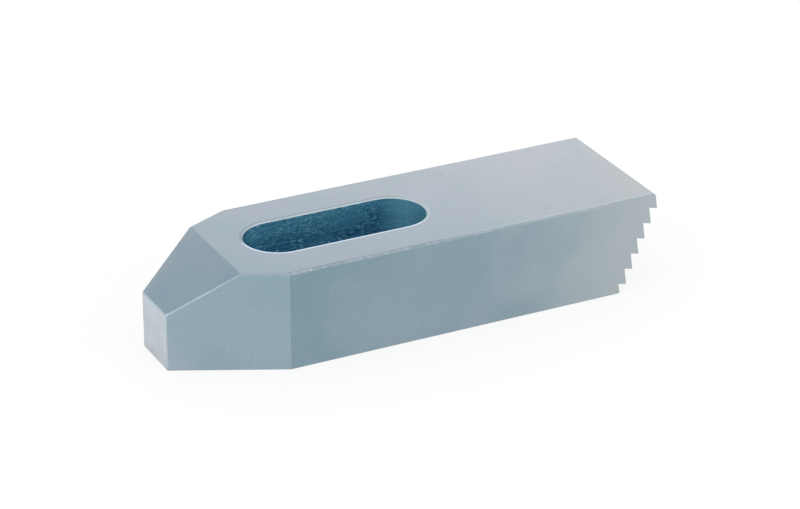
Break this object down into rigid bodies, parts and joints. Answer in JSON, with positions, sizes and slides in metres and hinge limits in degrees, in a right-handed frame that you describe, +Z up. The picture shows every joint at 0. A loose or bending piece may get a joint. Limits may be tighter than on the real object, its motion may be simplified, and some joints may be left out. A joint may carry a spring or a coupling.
{
  "type": "step clamp",
  "caption": "Stepped clamp bar for workholding: a slotted steel bar with a low tapered nose at one end and hooked steps across the other end, which engage a riser block.",
  "frame": {"origin": "bottom centre of the bounding box, on the flat underside", "axes": "+Y runs along the bar from the nose to the toothed end, +Z is up through the slot, X is across the bar"},
  "size_m": [0.05, 0.16, 0.032],
  "materials": {
    "steel": "hardened and tempered steel, machined and ground all over, bluish grey satin with light handling scratches; darker blue-grey milled wall in the slot"
  },
  "bodies": {
    "root": {"clamp_body": "steel"}
  },
  "joints": []
}
